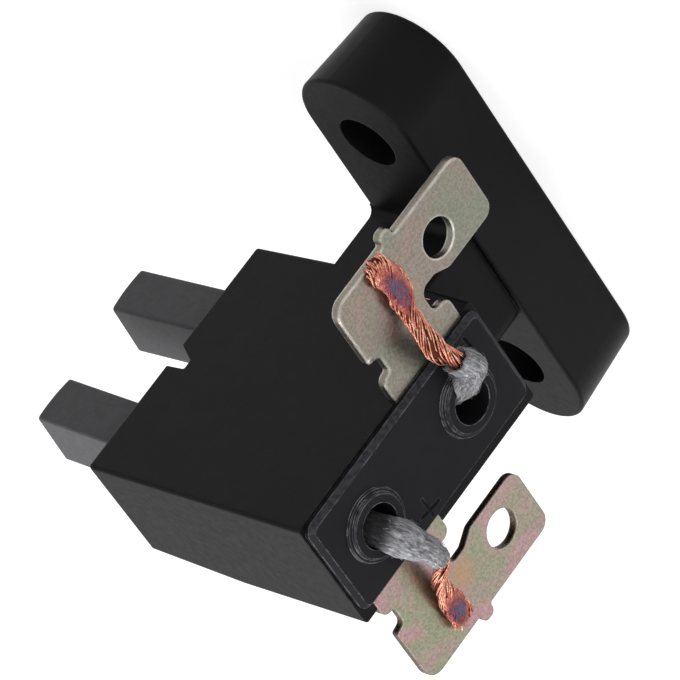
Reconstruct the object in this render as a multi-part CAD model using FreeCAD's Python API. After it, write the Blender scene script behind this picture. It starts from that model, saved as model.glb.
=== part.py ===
# Brush holder of a small generator: a moulded housing with a mounting foot carries two
# spring-loaded carbon brushes, side by side, that run on a pair of slip rings.
# Millimetres. The holder stands on its mounting face, at Z = 0. The origin lies on that face,
# half way between the two screw holes, which stand apart along Y. The brushes point to -X.
# Each brush has its own guide, spring, copper pigtail, fabric sleeve and stamped terminal.
import FreeCAD, Part
import math
import os
from FreeCAD import Vector

# Mounting foot: a bar with two screw holes
mount_pitch = 28.0
mount_hole_d = 5.5
foot_end_centre_margin = 1.6
foot_face_width = 10.5
foot_thick = 8.4
foot_draft = 0.55
foot_edge_r = 0.3

# Neck between the foot and the brush box
neck_height = 6.15
neck_rear_inset = 0.55
neck_low_inset = 0.35
neck_low_corner_r = 1.6
neck_root_r = 0.9

# Brush box of the housing
box_front_reach = 15.2
box_length = 25.5
box_height = 24.6
box_depth = 11.2
box_side_offset = 1.65
box_belly = 0.4
box_swell = 0.9
box_swell_length = 11.0
box_edge_r = 0.35
groove_width = 2.5
groove_floor_width = 0.95
groove_depth = 2.25
groove_offset = 0.05

# Guides, one for each brush
brush_pitch = 13.15
guide_axis_offset = -0.07
guide_play = 0.42
guide_corner_r = 0.35

# Carbon brushes
brush_length = 20.0
brush_thick = 4.6
brush_width = 6.0
brush_edge_r = 0.3
brush_nose_rise = 0.2
brush_nose_slant = 0.7
brush_reach = {"positive": 12.95, "negative": 14.2}
brush_lean = {"positive": 2.1, "negative": -1.3}
brush_sag = {"positive": 0.35, "negative": 0.14}

# Rear cover
cover_thick = 0.8
cover_inset = 0.25
cover_corner_r = 1.1
cover_edge_chamfer = 0.45
collar_r = 3.15
collar_step = 0.32
collar_step_height = 0.26
collar_height = 0.58
lead_hole_r = 1.95
lead_hole_offset = {"positive": 0.3, "negative": 0.14}
spigot_length = 1.5
spigot_clearance = 0.06

# Stamped terminals
terminal_thick = 0.8
terminal_length = 17.5
terminal_rise = 10.85
terminal_root_depth = 1.6
terminal_root_width = 9.4
terminal_wing_width = 7.1
terminal_wing_corner_r = 1.5
terminal_wing_gap_width = 0.5
terminal_notch_depth = 1.2
terminal_notch_low = 2.25
terminal_notch_high = 4.2
terminal_nub_width = 1.45
terminal_nub_rise = 1.0
terminal_tab_low = 3.9
terminal_tab_slope_width = 3.5
terminal_bridge_width = 1.9
terminal_bridge_low = 4.75
terminal_rolled_r = 0.16
tab_hole_d = 3.5
tab_hole_rise = 6.85
tab_hole_along = {"positive": 13.4, "negative": 11.7}
terminal_start = {"positive": 1.6, "negative": 13.8}
pocket_clearance = 0.05

# Springs
spring_wire_d = 0.45
spring_outer_d = 4.7
spring_turns = 8.0
spring_seat_gap = 0.02
spring_points_per_turn = 24

# Copper pigtails and their fabric sleeves
lead_d = 1.7
lead_hole_play = 0.08
lead_tamped_depth = 5.0
lead_straight_behind_brush = 1.5
lead_slack = 0.5
# Corners of each route: height above the collar, way out from the lead hole, step along +Z
lead_route = {
    "positive": ((2.0, 0.5, 0.0), (2.6, 4.0, -1.0), (0.9, 7.2, -1.7)),
    "negative": ((1.9, 0.6, -0.2), (2.7, 3.8, -0.8), (1.6, 6.0, 0.4), (0.3, 8.3, 0.4)),
}
# Where a lead comes down on its terminal and where it ends: way out, step along +Z
lead_landing = {"positive": ((10.2, -1.7), (14.6, -1.1)), "negative": ((10.9, -0.3), (15.8, -0.6))}
weld_width = 3.0
weld_thick = 0.85
weld_lift = 0.02
sleeve_d = 2.8
sleeve_bore_play = 0.06
sleeve_inner_tail = 3.0

# Worked out from the sizes above
foot_low_half = foot_face_width / 2
foot_high_half = foot_low_half + foot_draft
foot_end_centre = mount_pitch / 2 + foot_end_centre_margin
box_front_x = -box_front_reach
box_rear_x = box_front_x + box_length
box_low_z = foot_thick + neck_height
box_top_z = box_low_z + box_height
mid_y = -box_side_offset
side_y = {"positive": mid_y - box_depth / 2, "negative": mid_y + box_depth / 2}
outward = {"positive": -1, "negative": 1}
guide_mid_z = box_low_z + box_height / 2 + guide_axis_offset
axis_z = {"positive": guide_mid_z + brush_pitch / 2, "negative": guide_mid_z - brush_pitch / 2}
lead_z = {side: axis_z[side] + lead_hole_offset[side] for side in axis_z}
guide_height = brush_thick + 2 * guide_play
guide_depth = brush_width + 2 * guide_play
cover_top_x = box_rear_x + cover_thick
spring_seat_x = box_rear_x - spigot_length
polarities = ("positive", "negative")


def block(x0, x1, y0, y1, z0, z1):
    """A plain box between two corners."""
    return Part.makeBox(x1 - x0, y1 - y0, z1 - z0, Vector(x0, y0, z0))


def rounded_wire(corners, place):
    """A closed outline through corners (u, v, radius), put into space by place(u, v)."""
    edges = []
    ends = []
    for i, (u, v, r) in enumerate(corners):
        pu, pv, _ = corners[i - 1]
        nu, nv, _ = corners[(i + 1) % len(corners)]
        back = math.hypot(pu - u, pv - v)
        ahead = math.hypot(nu - u, nv - v)
        bu, bv = (pu - u) / back, (pv - v) / back
        au, av = (nu - u) / ahead, (nv - v) / ahead
        if r == 0:
            ends.append((place(u, v), place(u, v)))
            continue
        half = math.acos(max(-1.0, min(1.0, bu * au + bv * av))) / 2
        tangent = r / math.tan(half)
        bis = math.hypot(bu + au, bv + av)
        reach = r / math.sin(half) - r
        mid = place(u + (bu + au) / bis * reach, v + (bv + av) / bis * reach)
        start = place(u + bu * tangent, v + bv * tangent)
        end = place(u + au * tangent, v + av * tangent)
        edges.append((i, Part.Arc(start, mid, end).toShape()))
        ends.append((start, end))
    for i in range(len(corners)):
        start = ends[i][1]
        end = ends[(i + 1) % len(corners)][0]
        if start.distanceToPoint(end) > 1e-6:
            edges.append((i + 0.5, Part.LineSegment(start, end).toShape()))
    edges.sort(key=lambda pair: pair[0])
    return Part.Wire([edge for _, edge in edges])


def prism(corners, place, along):
    """A solid made by pushing a rounded outline along a vector."""
    return Part.Face(rounded_wire(corners, place)).extrude(along)


def edges_along(shape, direction):
    """The straight edges of a shape that run along a direction."""
    found = []
    for edge in shape.Edges:
        if edge.Curve.TypeId != "Part::GeomLine":
            continue
        if edge.tangentAt(edge.FirstParameter).cross(direction).Length < 0.05:
            found.append(edge)
    return found


def on_brush_axis(side, from_front):
    """A point on the brush's own axis, which leans and sags within the guide's play."""
    behind_mouth = from_front - brush_reach[side]
    lean = math.radians(brush_lean[side])
    x = box_front_x + behind_mouth * math.cos(lean)
    return Vector(x, mid_y, axis_z[side] - brush_sag[side] + behind_mouth * math.sin(lean))


def foot():
    """The bar that is screwed down: drafted all round, with half-round ends."""
    def outline(z, half):
        end = foot_end_centre + half
        corners = [(-half, -end, half), (half, -end, half), (half, end, half), (-half, end, half)]
        return rounded_wire(corners, lambda u, v: Vector(u, v, z))

    low = outline(0, foot_low_half)
    high = outline(foot_thick, foot_high_half)
    bar = Part.makeLoft([low, high], True, True)
    rims = []
    for edge in bar.Edges:
        zs = [vertex.Z for vertex in edge.Vertexes]
        if max(zs) - min(zs) < 1e-6:
            rims.append(edge)
    return bar.makeFillet(foot_edge_r, rims)


def neck():
    """The short column between foot and box, flared where it grows out of the foot."""
    y_low = side_y["positive"] + neck_low_inset
    y_high = side_y["negative"]
    z0 = foot_thick - foot_edge_r
    z1 = box_low_z + 1.0
    flare = neck_root_r
    front = -foot_high_half
    rear = foot_high_half - neck_rear_inset
    column = prism(
        [
            (front, y_low, 0),
            (rear, y_low, neck_low_corner_r),
            (rear, y_high, 0.3),
            (front, y_high, 0),
        ],
        lambda u, v: Vector(u, v, z0),
        Vector(0, 0, z1 - z0),
    )
    flares = []
    for y, way in ((y_low, -1), (y_high, 1)):
        a = Vector(front, y, foot_thick + flare)
        b = Vector(front, y + way * flare, foot_thick)
        mid = Vector(
            front,
            y + way * flare * (1 - math.sqrt(0.5)),
            foot_thick + flare * (1 - math.sqrt(0.5)),
        )
        inner = Vector(front, y - way * flare, foot_thick - foot_edge_r)
        upper = Vector(front, y - way * flare, foot_thick + flare)
        below = Vector(front, y + way * flare, foot_thick - foot_edge_r)
        wire = Part.Wire([
            Part.Arc(a, mid, b).toShape(),
            Part.LineSegment(b, below).toShape(),
            Part.LineSegment(below, inner).toShape(),
            Part.LineSegment(inner, upper).toShape(),
            Part.LineSegment(upper, a).toShape(),
        ])
        flares.append(Part.Face(wire).extrude(Vector(rear - front - neck_low_corner_r, 0, 0)))
    return column.fuse(flares)


def brush_box():
    """The box around the guides.

    As moulded, its underside drops a little towards the neck, and its wall on the positive
    terminal's side swells away from the mouth."""
    corners = [
        (box_front_x, box_low_z, 0),
        (-foot_high_half, box_low_z - box_belly, 0),
        (box_rear_x, box_low_z, 0),
        (box_rear_x, box_top_z, 0),
        (box_front_x, box_top_z, 0),
    ]
    body = prism(
        corners,
        lambda u, v: Vector(u, side_y["positive"] - box_swell, v),
        Vector(0, box_depth + box_swell, 0),
    )
    swell_x = box_front_x + box_swell_length
    low, high = box_low_z - 2 * box_belly, box_top_z + 1
    body = body.cut(prism(
        [
            (box_front_x, side_y["positive"], 0),
            (swell_x, side_y["positive"] - box_swell, 0),
            (swell_x, side_y["positive"] - box_swell - 1, 0),
            (box_front_x - 1, side_y["positive"] - box_swell - 1, 0),
            (box_front_x - 1, side_y["positive"], 0),
        ],
        lambda u, v: Vector(u, v, low),
        Vector(0, 0, high - low),
    ))
    rims = [edge for edge in body.Edges if edge.BoundBox.XMax > box_front_x + 1e-3
            and edge.BoundBox.XMin < box_rear_x - 1e-3 and edge.BoundBox.YLength < 1e-6]
    fronts = [edge for edge in body.Edges if edge.BoundBox.XMax < box_front_x + 1e-3]
    return body.makeFillet(box_edge_r, rims + fronts)


def guide(side):
    """The rectangular way of one brush, right through the box."""
    z = axis_z[side]
    y0 = mid_y - guide_depth / 2
    z0 = z - guide_height / 2
    corners = [
        (y0, z0, guide_corner_r),
        (y0 + guide_depth, z0, guide_corner_r),
        (y0 + guide_depth, z0 + guide_height, guide_corner_r),
        (y0, z0 + guide_height, guide_corner_r),
    ]
    return prism(
        corners,
        lambda u, v: Vector(box_front_x - 1, u, v),
        Vector(box_length + 2, 0, 0),
    )


def front_groove():
    """The notch across the front face, between the two guides."""
    z_mid = guide_mid_z - groove_offset
    x = box_front_x
    corners = [
        (x - 1, z_mid + groove_width / 2, 0),
        (x - 1, z_mid - groove_width / 2, 0),
        (x, z_mid - groove_width / 2, 0.2),
        (x + groove_depth, z_mid + groove_width / 2 - groove_floor_width - 0.15, 0.2),
        (x + groove_depth, z_mid + groove_width / 2 - 0.15, 0.2),
        (x, z_mid + groove_width / 2, 0),
    ]
    return prism(
        corners,
        lambda u, v: Vector(u, side_y["positive"] - box_swell - 1, v),
        Vector(0, box_depth + box_swell + 2, 0),
    )


def terminal_place(side):
    """Maps the stamping's own (along, rise) onto the box's rear edge on its side."""
    start_z = box_top_z - terminal_start[side]

    def place(along, rise):
        y = side_y[side] + outward[side] * rise
        return Vector(box_rear_x - terminal_thick, y, start_z - along)

    return place


def terminal_pocket(side):
    """The recess of the box's end face in which a terminal's root lies."""
    place = terminal_place(side)
    c = pocket_clearance
    low = place(terminal_root_width + c, -terminal_root_depth - c)
    high = place(-c, box_swell + 1)
    return block(
        box_rear_x - terminal_thick,
        box_rear_x + 1,
        min(low.y, high.y),
        max(low.y, high.y),
        min(low.z, high.z),
        max(low.z, high.z),
    )


def mount_hole(y):
    return Part.makeCylinder(mount_hole_d / 2, foot_thick + 2, Vector(0, y, -1))


def housing():
    """One moulding: foot, neck and brush box, with every hole in it."""
    body = foot().fuse([neck(), brush_box()]).removeSplitter()
    cuts = [front_groove(), mount_hole(-mount_pitch / 2), mount_hole(mount_pitch / 2)]
    for side in polarities:
        cuts.append(guide(side))
        cuts.append(terminal_pocket(side))
    return body.cut(cuts)


def collar(side):
    """The stepped ring around a lead hole, as a turned profile."""
    r, h = collar_r, collar_height
    top_r = r - collar_step
    soft = 0.14
    points = [
        (lead_hole_r - 0.5, -0.2),
        (r, -0.2),
        (r, collar_step_height - 0.06),
        (r - 0.06, collar_step_height),
        (top_r, collar_step_height),
        (top_r, h - soft),
        (top_r - soft, h),
        (lead_hole_r + soft, h),
        (lead_hole_r - 0.5, h),
    ]
    spots = [Vector(cover_top_x + x, mid_y + ring, lead_z[side]) for ring, x in points]
    face = Part.Face(Part.makePolygon(spots + spots[:1]))
    return face.revolve(Vector(0, mid_y, lead_z[side]), Vector(1, 0, 0), 360)


def spigot(side):
    """The plug on the cover's inner face that fits a guide and seats the spring."""
    y0 = mid_y - guide_depth / 2 + spigot_clearance
    y1 = mid_y + guide_depth / 2 - spigot_clearance
    z0 = axis_z[side] - guide_height / 2 + spigot_clearance
    z1 = axis_z[side] + guide_height / 2 - spigot_clearance
    corners = [(y0, z0, guide_corner_r), (y1, z0, guide_corner_r),
               (y1, z1, guide_corner_r), (y0, z1, guide_corner_r)]
    return prism(
        corners,
        lambda u, v: Vector(spring_seat_x, u, v),
        Vector(spigot_length + cover_thick / 2, 0, 0),
    )


def rear_cover():
    """The plate that closes the guides, clamps the terminals and lets the leads out."""
    y0, y1 = side_y["positive"] + cover_inset, side_y["negative"] - cover_inset
    z0, z1 = box_low_z + cover_inset, box_top_z - cover_inset
    r = cover_corner_r
    plate = prism(
        [(y0, z0, r), (y1, z0, r), (y1, z1, r), (y0, z1, r)],
        lambda u, v: Vector(box_rear_x, u, v),
        Vector(cover_thick, 0, 0),
    )
    rim = [edge for edge in plate.Edges if edge.BoundBox.XMin > cover_top_x - 1e-3]
    plate = plate.makeChamfer(cover_edge_chamfer, rim)
    adds = []
    holes = []
    for side in polarities:
        adds.append(collar(side))
        adds.append(spigot(side))
        length = spigot_length + cover_thick + collar_height + 2
        start = Vector(spring_seat_x - 1, mid_y, lead_z[side])
        holes.append(Part.makeCylinder(lead_hole_r, length, start, Vector(1, 0, 0)))
    return plate.fuse(adds).cut(holes)


def carbon_brush(side):
    """A bar of carbon with a slanting, slightly crowned contact face and a lead hole."""
    half = brush_thick / 2
    back = brush_length
    slant = brush_nose_slant
    rise = brush_nose_rise
    arc = Part.Arc(Vector(rise + slant, 0, half), Vector(slant, 0, 0),
                   Vector(rise + slant, 0, -half)).toShape()
    wire = Part.Wire([
        Part.LineSegment(Vector(back + 2, 0, half), Vector(rise + slant, 0, half)).toShape(),
        arc,
        Part.LineSegment(Vector(rise + slant, 0, -half), Vector(back + 2, 0, -half)).toShape(),
        Part.LineSegment(Vector(back + 2, 0, -half), Vector(back + 2, 0, half)).toShape(),
    ])
    bar = Part.Face(wire).extrude(Vector(-slant, -brush_width, 0))
    bar.translate(Vector(0, brush_width / 2, 0))
    bar = bar.common(block(-1, back, -brush_width, brush_width, -brush_thick, brush_thick))
    bar = bar.makeFillet(brush_edge_r, edges_along(bar, Vector(1, 0, 0)))
    hole = Part.makeCylinder(
        lead_d / 2 + lead_hole_play,
        lead_tamped_depth + 1,
        Vector(back - lead_tamped_depth, 0, 0),
        Vector(1, 0, 0),
    )
    bar = bar.cut(hole)
    bar.rotate(Vector(0, 0, 0), Vector(0, 1, 0), -brush_lean[side])
    bar.translate(on_brush_axis(side, 0))
    return bar


def spring(side):
    """A coil spring between the brush's back and the cover."""
    gap = spring_seat_gap + spring_wire_d / 2
    lean_gap = brush_thick / 2 * abs(math.sin(math.radians(brush_lean[side])))
    x0 = on_brush_axis(side, brush_length).x + gap + lean_gap
    x1 = spring_seat_x - gap
    coil_r = (spring_outer_d - spring_wire_d) / 2
    count = int(spring_turns * spring_points_per_turn)
    points = []
    for i in range(count + 1):
        turn = 2 * math.pi * i / spring_points_per_turn
        rise = (x1 - x0) * i / count
        points.append(Vector(coil_r * math.cos(turn), coil_r * math.sin(turn), rise))
    helix = Part.BSplineCurve()
    helix.interpolate(points)
    section = Part.Wire(Part.makeCircle(spring_wire_d / 2, Vector(coil_r, 0, 0), Vector(0, 1, 0)))
    sweep = Part.BRepOffsetAPI.MakePipeShell(Part.Wire(helix.toShape()))
    sweep.setFrenetMode(True)
    sweep.add(section)
    sweep.build()
    sweep.makeSolid()
    coil = Part.Solid(sweep.shape())
    coil.rotate(Vector(0, 0, 0), Vector(0, 1, 0), 90)
    coil.translate(Vector(x0, mid_y, axis_z[side]))
    return coil


def terminal(side):
    """The stamped tag: a root in the box, a wing for the pigtail and a tab for a screw.

    The punch leaves a rolled rim on the face that it enters: the outer face of the negative
    tag and the inner face of the positive one, which is the same stamping turned over."""
    place = terminal_place(side)
    rise = terminal_rise
    wing = terminal_wing_width
    end = terminal_length
    root = terminal_root_width
    notch = terminal_notch_depth
    notch_high = terminal_notch_high
    nub_end = wing + terminal_nub_width
    nub_top = rise + terminal_nub_rise
    gap_x = wing + terminal_wing_gap_width
    bridge = terminal_bridge_low
    tab_low = terminal_tab_low
    corners = [
        (0, -terminal_root_depth, 0.3),
        (0, terminal_notch_low, 0.85),
        (notch, terminal_notch_low, 0.3),
        (notch, notch_high, 0.55),
        (0, notch_high + 0.2, 0.3),
        (0, rise, terminal_wing_corner_r),
        (wing, rise, 0.3),
        (wing, nub_top, 0.6),
        (nub_end, nub_top, 0.6),
        (nub_end, rise, 0.3),
        (end, rise, 1.25),
        (end, tab_low, 1.2),
        (gap_x + terminal_tab_slope_width, tab_low, 1.2),
        (gap_x + terminal_bridge_width, bridge, 0.7),
        (gap_x, bridge, 0.9),
        (gap_x, terminal_notch_low, 0.75),
        (root, terminal_notch_low, 0.85),
        (root, -terminal_root_depth, 0.3),
    ]
    plate = prism(corners, place, Vector(terminal_thick, 0, 0))
    punched_x = box_rear_x - terminal_thick if side == "positive" else box_rear_x
    rolled = []
    for edge in plate.Edges:
        outside = outward[side] * (edge.CenterOfMass.y - side_y[side]) > 0.1
        on_face = abs(edge.BoundBox.XMax - punched_x) + abs(edge.BoundBox.XMin - punched_x) < 1e-3
        if outside and on_face:
            rolled.append(edge)
    plate = plate.makeFillet(terminal_rolled_r, rolled)
    hole_at = place(tab_hole_along[side], tab_hole_rise)
    hole = Part.makeCylinder(
        tab_hole_d / 2,
        terminal_thick + 2,
        Vector(hole_at.x - 1, hole_at.y, hole_at.z),
        Vector(1, 0, 0),
    )
    return plate.cut(hole)


def lead_points(side):
    """The route of a pigtail: out of the brush, through the cover, over to its weld."""
    z = lead_z[side]
    way = outward[side]
    top = cover_top_x + collar_height
    laid_x = box_rear_x + weld_lift + lead_d / 2
    behind = on_brush_axis(side, brush_length + lead_straight_behind_brush)
    seat = Vector(spring_seat_x - 2 * sleeve_inner_tail, mid_y, z)
    slack = (behind + seat) * 0.5 + Vector(0, lead_slack, 0)
    route = [on_brush_axis(side, brush_length - lead_tamped_depth + 0.2), behind, slack, seat]
    for height, out, step in lead_route[side]:
        route.append(Vector(top + height, mid_y + way * out, z + step))
    for out, step in lead_landing[side]:
        route.append(Vector(laid_x, mid_y + way * out, z + step))
    return route


def rounded_path(points):
    """Straight runs joined by tangent arcs that are as large as the runs allow."""
    edges = []
    radii = []
    cursor = points[0]
    for before, corner, after in zip(points, points[1:], points[2:]):
        back = before - corner
        ahead = after - corner
        short = min(back.Length, ahead.Length)
        back.normalize()
        ahead.normalize()
        turn = math.pi - back.getAngle(ahead)
        tangent = 0.45 * short
        radius = tangent / math.tan(turn / 2)
        radii.append(round(radius, 2))
        start = corner + back * tangent
        end = corner + ahead * tangent
        bis = back + ahead
        bis.normalize()
        mid = corner + bis * (radius / math.cos(turn / 2) - radius)
        edges.append(Part.LineSegment(cursor, start).toShape())
        edges.append(Part.Arc(start, mid, end).toShape())
        cursor = end
    edges.append(Part.LineSegment(cursor, points[-1]).toShape())
    return edges, radii


def tube(path, radius):
    """A round rod swept along a path."""
    edge = path.OrderedEdges[0]
    start = edge.valueAt(edge.FirstParameter)
    direction = edge.tangentAt(edge.FirstParameter)
    sweep = Part.BRepOffsetAPI.MakePipeShell(path)
    sweep.add(Part.Wire(Part.makeCircle(radius, start, direction)))
    sweep.build()
    sweep.makeSolid()
    return Part.Solid(sweep.shape())


def weld_foot(start, end):
    """The end of a pigtail, pressed flat on the terminal's face and welded there."""
    run = end - start
    length = run.Length
    run.normalize()
    across = Vector(1, 0, 0).cross(run)
    half = weld_width / 2

    low_x = box_rear_x + weld_lift

    def place(u, v):
        spot = start + run * u + across * v
        return Vector(low_x, spot.y, spot.z)

    corners = [
        (-1.0, -lead_d * 0.4, 0.3),
        (length * 0.3, -half, 1.5),
        (length, -half * 0.9, 0.8),
        (length, half * 0.9, 0.8),
        (length * 0.3, half, 1.5),
        (-1.0, lead_d * 0.4, 0.3),
    ]
    pad = prism(corners, place, Vector(weld_thick, 0, 0))
    rims = [edge for edge in pad.Edges if edge.BoundBox.XMin > low_x + weld_thick - 1e-3]
    return pad.makeFillet(weld_thick * 0.35, rims)


def weld_hook(side, z):
    """The last of the strands, folded round the terminal's outer edge."""
    edge_y = side_y[side] + outward[side] * terminal_rise
    way = outward[side]
    face = box_rear_x
    back = box_rear_x - terminal_thick
    t = weld_thick
    c = weld_lift
    r = t * 0.8
    half = weld_width * 0.42
    corners = [
        (face + c, edge_y - way * 2.0, 0),
        (face + c + t, edge_y - way * 2.0, 0),
        (face + c + t, edge_y + way * (c + t), r),
        (back - c - t, edge_y + way * (c + t), r),
        (back - c - t, edge_y - way * 1.3, 0.2),
        (back - c, edge_y - way * 1.3, 0.2),
        (back - c, edge_y + way * c, 0),
        (face + c, edge_y + way * c, 0),
    ]
    return prism(corners, lambda u, v: Vector(u, v, z - half), Vector(0, 0, 2 * half))


def pigtail(side):
    """A copper pigtail from the brush to the terminal, with its pressed end."""
    route = lead_points(side)
    edges, radii = rounded_path(route[:-1])
    path = Part.Wire(edges)
    print("pigtail", side, "radii", radii, "length", round(path.Length, 2))
    joined = [weld_foot(route[-2], route[-1]), Part.makeSphere(lead_d / 2, route[-2])]
    if side == "negative":
        joined.append(weld_hook(side, route[-1].z))
    return tube(path, lead_d / 2).fuse(joined)


def sleeve(side):
    """The fabric sleeve over a pigtail where it leaves the cover."""
    route = lead_points(side)
    edges, _ = rounded_path(route[:-1])
    first_bend = edges[7]
    bend_start = first_bend.valueAt(first_bend.FirstParameter)
    axis_start = route[3]
    run = bend_start - axis_start
    inner = axis_start + run * ((spring_seat_x - sleeve_inner_tail - axis_start.x) / run.x)
    path = Part.Wire([Part.LineSegment(inner, bend_start).toShape()] + edges[7:11])
    return tube(path, sleeve_d / 2).cut(tube(path, lead_d / 2 + sleeve_bore_play))


os.makedirs("parts", exist_ok=True)
nodes = {"housing": housing(), "rear_cover": rear_cover()}
for polarity in polarities:
    nodes["brush_" + polarity] = carbon_brush(polarity)
    nodes["spring_" + polarity] = spring(polarity)
    nodes["terminal_" + polarity] = terminal(polarity)
    nodes["pigtail_" + polarity] = pigtail(polarity)
    nodes["sleeve_" + polarity] = sleeve(polarity)
for name, shape in nodes.items():
    print(name, shape.isValid(), len(shape.Solids), round(shape.Volume, 2))
    shape.exportStep("parts/" + name + ".step")
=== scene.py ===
# %% [markdown]
# A brush holder from a small generator, on a pale floor, seen from above its rear cover.
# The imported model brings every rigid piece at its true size. This file gives those pieces
# their finish, and models what the model only blocks in: stranded copper, a fabric sleeve,
# engraved signs and the ragged moulding flash.
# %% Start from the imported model
import math
import random

import bmesh
import bpy
from mathutils import Matrix, Vector, noise


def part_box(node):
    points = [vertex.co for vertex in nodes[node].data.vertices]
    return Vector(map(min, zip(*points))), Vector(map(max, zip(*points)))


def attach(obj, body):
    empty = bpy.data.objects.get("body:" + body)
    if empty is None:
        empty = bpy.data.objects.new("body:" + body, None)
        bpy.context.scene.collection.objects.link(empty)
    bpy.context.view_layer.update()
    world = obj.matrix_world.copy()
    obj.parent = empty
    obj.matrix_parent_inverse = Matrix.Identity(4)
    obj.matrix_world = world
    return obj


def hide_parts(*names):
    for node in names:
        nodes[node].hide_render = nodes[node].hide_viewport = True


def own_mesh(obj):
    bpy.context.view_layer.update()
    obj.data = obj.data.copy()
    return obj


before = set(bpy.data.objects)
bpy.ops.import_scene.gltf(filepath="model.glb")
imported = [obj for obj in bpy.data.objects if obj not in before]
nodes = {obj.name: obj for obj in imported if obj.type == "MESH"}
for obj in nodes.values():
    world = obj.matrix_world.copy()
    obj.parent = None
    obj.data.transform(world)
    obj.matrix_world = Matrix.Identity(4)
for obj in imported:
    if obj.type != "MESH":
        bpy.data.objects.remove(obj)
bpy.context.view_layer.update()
mm = 0.001
chance = random.Random(5)
print("pieces in the model:", sorted(nodes))

# %% [markdown]
# The photograph was taken with a long lens, rolled far over, so that the mounting foot
# points to the upper right. The camera is placed from the directions of its own right and
# up sides, which is the plain way to keep a roll: a tracking constraint would level it.
# %% The camera
camera_place = Vector((0.29075, 0.26036, 0.16846))
camera_right = Vector((0.68894, -0.45654, -0.56297)).normalized()
camera_up = Vector((-0.18618, 0.63918, -0.74618)).normalized()
camera_back = camera_right.cross(camera_up)
camera_data = bpy.data.cameras.new("camera")
camera_data.sensor_width = 36
camera_data.lens = 268.15
camera = bpy.data.objects.new("camera", camera_data)
bpy.context.scene.collection.objects.link(camera)
camera.matrix_world = Matrix.Translation(camera_place) @ Matrix(
    (camera_right, camera_up, camera_back)
).transposed().to_4x4()
bpy.context.scene.camera = camera
print("camera looks along", -camera_back)

# %% [markdown]
# A studio packshot has an even white surround. The floor and the world are white only for
# the rays that come straight from the camera, or by way of a shiny or clear surface. The
# light that they give the object stays plain, so the black plastic isn't washed out. Two
# small helpers fill in a node's sockets.
# %% Helpers for a material
def material(name):
    made = bpy.data.materials.new(name)
    made.use_nodes = True
    return made, made.node_tree.nodes, made.node_tree.links


def set_inputs(node, values):
    for socket, value in values.items():
        node.inputs[socket].default_value = value


def feed(tree_links, value, socket):
    """A socket gets a link or a fixed value, whichever is given."""
    if isinstance(value, bpy.types.NodeSocket):
        tree_links.new(value, socket)
    else:
        socket.default_value = value


def white_to_viewer(tree_nodes, tree_links):
    """One for camera, glossy and transmission rays, nought for the rest."""
    path = tree_nodes.new("ShaderNodeLightPath")
    seen = path.outputs["Is Camera Ray"]
    for kind in ("Is Glossy Ray", "Is Transmission Ray"):
        most = tree_nodes.new("ShaderNodeMath")
        most.operation = "MAXIMUM"
        tree_links.new(seen, most.inputs[0])
        tree_links.new(path.outputs[kind], most.inputs[1])
        seen = most.outputs[0]
    return seen


def linear(red, green, blue):
    """A colour as seen on a screen, 0 to 255, turned into the shader's own scale."""
    return tuple(((v / 255 + 0.055) / 1.055) ** 2.4 if v > 10 else v / 255 / 12.92
                 for v in (red, green, blue)) + (1.0,)


# %% [markdown]
# The floor is one large flat sheet. It keeps the object's shadow, because only part of its
# white comes from the emission that the viewer sees.
# %% Floor and world
floor_sheet = bmesh.new()
bmesh.ops.create_grid(floor_sheet, x_segments=1, y_segments=1, size=3.0)
floor_data = bpy.data.meshes.new("floor")
floor_sheet.to_mesh(floor_data)
floor = bpy.data.objects.new("floor", floor_data)
bpy.context.scene.collection.objects.link(floor)
floor_look, floor_nodes, floor_links = material("floor")
floor_shader = floor_nodes["Principled BSDF"]
set_inputs(floor_shader, {
    "Base Color": (0.4, 0.4, 0.4, 1), "Roughness": 0.9, "Specular IOR Level": 0.0})
floor_glow = floor_nodes.new("ShaderNodeEmission")
floor_sum = floor_nodes.new("ShaderNodeAddShader")
floor_level = floor_nodes.new("ShaderNodeMath")
floor_level.operation = "MULTIPLY"
floor_level.inputs[1].default_value = 0.8
floor_links.new(white_to_viewer(floor_nodes, floor_links), floor_level.inputs[0])
floor_links.new(floor_level.outputs[0], floor_glow.inputs["Strength"])
floor_links.new(floor_shader.outputs[0], floor_sum.inputs[0])
floor_links.new(floor_glow.outputs[0], floor_sum.inputs[1])
floor_links.new(floor_sum.outputs[0], floor_nodes["Material Output"].inputs["Surface"])
floor_data.materials.append(floor_look)

world = bpy.data.worlds.new("studio")
bpy.context.scene.world = world
world.use_nodes = True
world_nodes, world_links = world.node_tree.nodes, world.node_tree.links
backdrop = world_nodes["Background"]
backdrop.inputs["Color"].default_value = (1, 1, 1, 1)
world_level = world_nodes.new("ShaderNodeMapRange")
set_inputs(world_level, {"To Min": 0.3, "To Max": 1.0})
world_links.new(white_to_viewer(world_nodes, world_links), world_level.inputs["Value"])
world_links.new(world_level.outputs[0], backdrop.inputs["Strength"])

# %% [markdown]
# One large soft lamp above the brush box lights its upper side most, as in the photograph.
# A weaker one from the camera's side keeps the cover readable, and a low one draws the
# long highlights along the rounded end of the foot and the brushes.
# %% Lamps
def area_lamp(name, place, aim, size, power):
    data = bpy.data.lights.new(name, "AREA")
    data.shape = "SQUARE"
    data.size = size
    data.energy = power
    lamp = bpy.data.objects.new(name, data)
    lamp.location = place
    lamp.rotation_euler = (Vector(aim) - Vector(place)).to_track_quat("-Z", "Y").to_euler()
    bpy.context.scene.collection.objects.link(lamp)


area_lamp("overhead", (0.05, -0.2, 0.6), (0, 0, 0.02), 0.45, 3.4)
area_lamp("front", (0.5, 0.05, 0.3), (0, 0, 0.02), 0.3, 0.62)
area_lamp("low", (0.42, 0.3, 0.05), (0, 0, 0.01), 0.12, 0.3)
bpy.context.scene.view_settings.view_transform = "Standard"

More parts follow.
